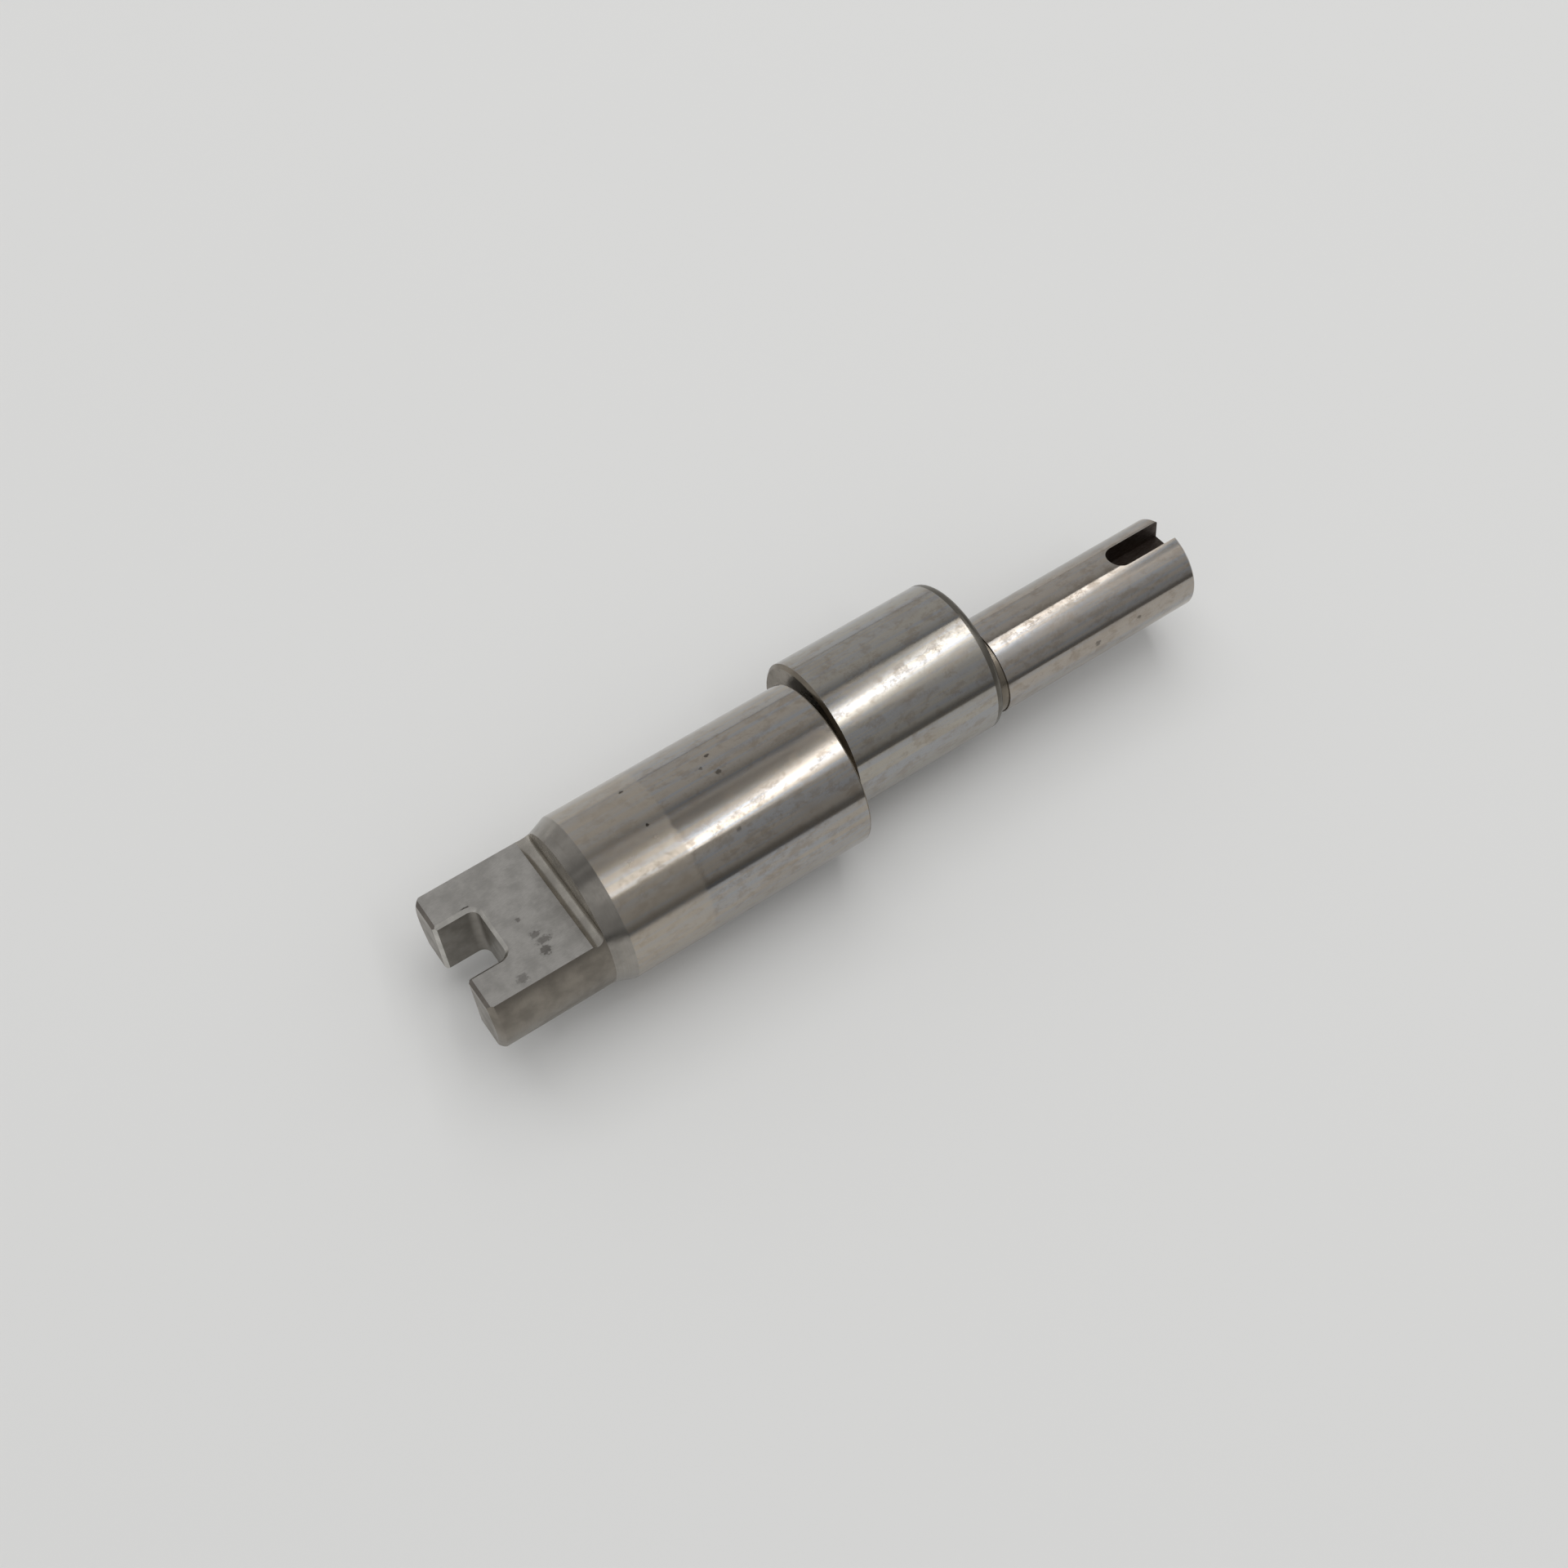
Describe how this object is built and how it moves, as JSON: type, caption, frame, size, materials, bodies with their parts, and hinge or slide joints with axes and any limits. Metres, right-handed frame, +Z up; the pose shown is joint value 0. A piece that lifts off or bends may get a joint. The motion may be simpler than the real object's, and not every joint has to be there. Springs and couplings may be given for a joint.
{
  "type": "stepped eccentric shaft",
  "caption": "Turned steel shaft with a slotted tongue, a main journal, an offset eccentric journal and a keyed tail journal.",
  "frame": {"origin": "on the main axis, in the middle of the main journal", "axes": "+X along the main axis from the slotted tongue to the keyed tail; +Z up with the shaft lying on the main journal and the eccentric; +Y the side the eccentric is thrown to"},
  "size_m": [0.1446, 0.0339, 0.03],
  "materials": {
    "steel": "ground and turned, lightly stained"
  },
  "bodies": {
    "root": {"shaft": "steel"}
  },
  "joints": []
}
